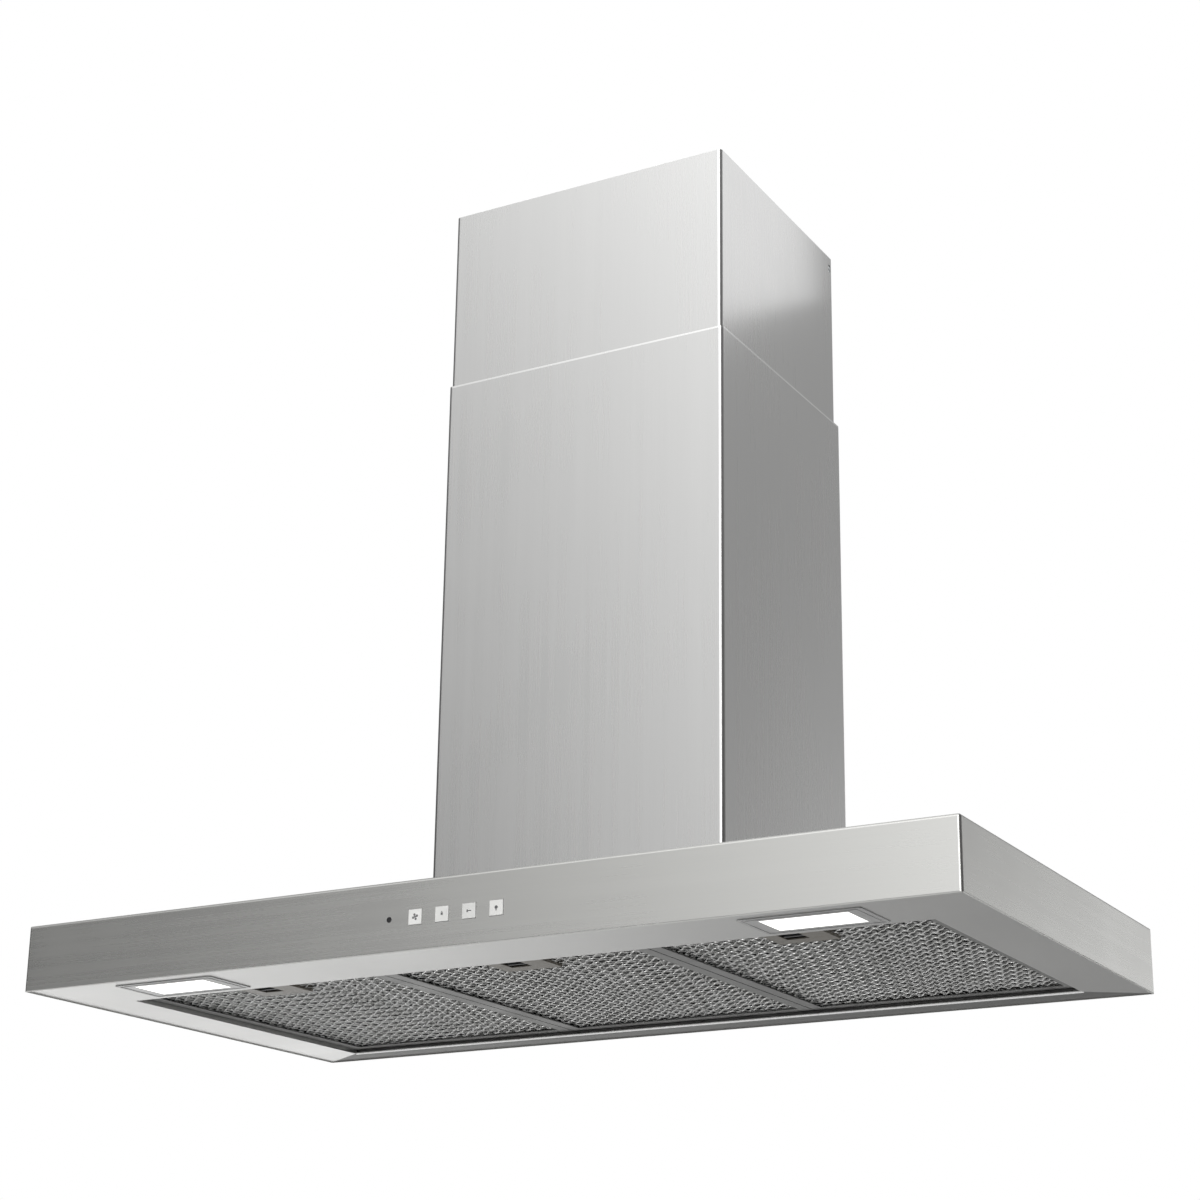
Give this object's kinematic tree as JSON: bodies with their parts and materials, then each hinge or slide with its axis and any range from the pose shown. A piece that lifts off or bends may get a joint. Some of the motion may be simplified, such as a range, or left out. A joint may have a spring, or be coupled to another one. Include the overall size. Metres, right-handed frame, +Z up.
{
  "type": "wall chimney range hood",
  "caption": "Box-shaped wall range hood with a telescopic chimney, tilting grease filters, push buttons, lamps and an inner fan.",
  "frame": {"origin": "centre of the canopy's footprint, at the level of its lower edge", "axes": "+X to the user's right, +Y from the fascia towards the wall, +Z up"},
  "size_m": [0.9, 0.4708, 0.801],
  "materials": {
    "steel_shell": "brushed along the width",
    "steel_panel": "brushed along the width",
    "steel_rail": "darker brush along the width",
    "steel_chimney": "fine vertical brush, satin",
    "lamp_frame": "satin silver grey",
    "lamp_lens": "frosted, lit",
    "circuit_board": "solder mask",
    "spring_steel": "bright zinc",
    "white_plastic": "smooth moulded",
    "black_plastic": "fine moulded grain",
    "indicator": "smoked light pipe",
    "galvanised": "galvanised spangle",
    "foam": "closed-cell foam",
    "dark_plastic": "glass-filled moulding",
    "motor_metal": "grey enamel",
    "rubber": "matte",
    "bright_rod": "polished",
    "flap_metal": "mill finish",
    "button_metal": "satin silver",
    "filter_frame": "satin anodised",
    "filter_mesh": "expanded mesh, bright cut edges",
    "latch_cup": "brown-grey moulded"
  },
  "bodies": {
    "canopy": {"canopy_shell": "steel_shell", "underside_panel": "steel_panel", "rear_rail": "steel_rail", "rail_rod": "bright_rod", "lamp_bezel_left": "lamp_frame", "lamp_bezel_right": "lamp_frame", "lamp_lens_left": "lamp_lens", "lamp_lens_right": "lamp_lens", "lamp_boards": "circuit_board", "lamp_clips": "spring_steel", "led_driver": "white_plastic", "control_housing": "black_plastic", "control_board": "circuit_board", "tact_switches": "black_plastic", "indicator_lens": "indicator", "blower_box": "galvanised", "blower_gasket": "foam", "volute_left": "dark_plastic", "volute_right": "dark_plastic", "motor_can": "motor_metal", "motor_bracket": "galvanised", "motor_grommets": "rubber", "run_capacitor": "white_plastic", "terminal_box": "black_plastic", "terminal_lid": "black_plastic", "cable_gland": "rubber", "outlet_collar": "dark_plastic", "flap_pins": "spring_steel", "lower_chimney": "steel_chimney", "hanging_plate": "galvanised", "blower_screws": "spring_steel", "chimney_screws": "spring_steel", "panel_screws": "spring_steel"},
    "upper_cover": {"upper_chimney": "steel_chimney", "chimney_bracket": "galvanised"},
    "fan": {"impeller": "dark_plastic", "motor_shaft": "spring_steel"},
    "flap_left": {"damper_flap_left": "flap_metal"},
    "flap_right": {"damper_flap_right": "flap_metal"},
    "button_1": {"button_1": "button_metal"},
    "button_2": {"button_2": "button_metal"},
    "button_3": {"button_3": "button_metal"},
    "button_4": {"button_4": "button_metal"},
    "filter_1": {"filter_frame_1": "filter_frame", "filter_mesh_1": "filter_mesh", "latch_cup_1": "latch_cup", "latch_spring_1": "spring_steel"},
    "latch_1": {"latch_slider_1": "black_plastic"},
    "filter_2": {"filter_frame_2": "filter_frame", "filter_mesh_2": "filter_mesh", "latch_cup_2": "latch_cup", "latch_spring_2": "spring_steel"},
    "latch_2": {"latch_slider_2": "black_plastic"},
    "filter_3": {"filter_frame_3": "filter_frame", "filter_mesh_3": "filter_mesh", "latch_cup_3": "latch_cup", "latch_spring_3": "spring_steel"},
    "latch_3": {"latch_slider_3": "black_plastic"}
  },
  "joints": [
    {"name": "upper_cover_slide", "type": "slide", "parent": "canopy", "child": "upper_cover", "axis": [0, 0, 1], "range_m": [-0.17, 0.3]},
    {"name": "fan_spin", "type": "hinge", "parent": "canopy", "child": "fan", "pos_m": [0, 0.1, 0.169], "axis": [1, 0, 0], "continuous": true},
    {"name": "flap_left_swing", "type": "hinge", "parent": "canopy", "child": "flap_left", "pos_m": [-0.004, 0.14, 0.319], "axis": [0, 1, 0], "range_deg": [0, 75]},
    {"name": "flap_right_swing", "type": "hinge", "parent": "canopy", "child": "flap_right", "pos_m": [0.004, 0.14, 0.319], "axis": [0, -1, 0], "range_deg": [0, 75]},
    {"name": "button_1_press", "type": "slide", "parent": "canopy", "child": "button_1", "axis": [0, 1, 0], "range_m": [0, 0.0015], "stiffness_N_per_m": 400},
    {"name": "button_2_press", "type": "slide", "parent": "canopy", "child": "button_2", "axis": [0, 1, 0], "range_m": [0, 0.0015], "stiffness_N_per_m": 400},
    {"name": "button_3_press", "type": "slide", "parent": "canopy", "child": "button_3", "axis": [0, 1, 0], "range_m": [0, 0.0015], "stiffness_N_per_m": 400},
    {"name": "button_4_press", "type": "slide", "parent": "canopy", "child": "button_4", "axis": [0, 1, 0], "range_m": [0, 0.0015], "stiffness_N_per_m": 400},
    {"name": "filter_1_tilt", "type": "hinge", "parent": "canopy", "child": "filter_1", "pos_m": [-0.2624, 0.2, 0.0052], "axis": [1, 0, 0], "range_deg": [0, 60]},
    {"name": "latch_1_slide", "type": "slide", "parent": "filter_1", "child": "latch_1", "axis": [0, 1, 0], "range_m": [0, 0.006], "stiffness_N_per_m": 300, "deforming": ["latch_spring_1"]},
    {"name": "filter_2_tilt", "type": "hinge", "parent": "canopy", "child": "filter_2", "pos_m": [0, 0.2, 0.0052], "axis": [1, 0, 0], "range_deg": [0, 60]},
    {"name": "latch_2_slide", "type": "slide", "parent": "filter_2", "child": "latch_2", "axis": [0, 1, 0], "range_m": [0, 0.006], "stiffness_N_per_m": 300, "deforming": ["latch_spring_2"]},
    {"name": "filter_3_tilt", "type": "hinge", "parent": "canopy", "child": "filter_3", "pos_m": [0.2624, 0.2, 0.0052], "axis": [1, 0, 0], "range_deg": [0, 60]},
    {"name": "latch_3_slide", "type": "slide", "parent": "filter_3", "child": "latch_3", "axis": [0, 1, 0], "range_m": [0, 0.006], "stiffness_N_per_m": 300, "deforming": ["latch_spring_3"]}
  ]
}
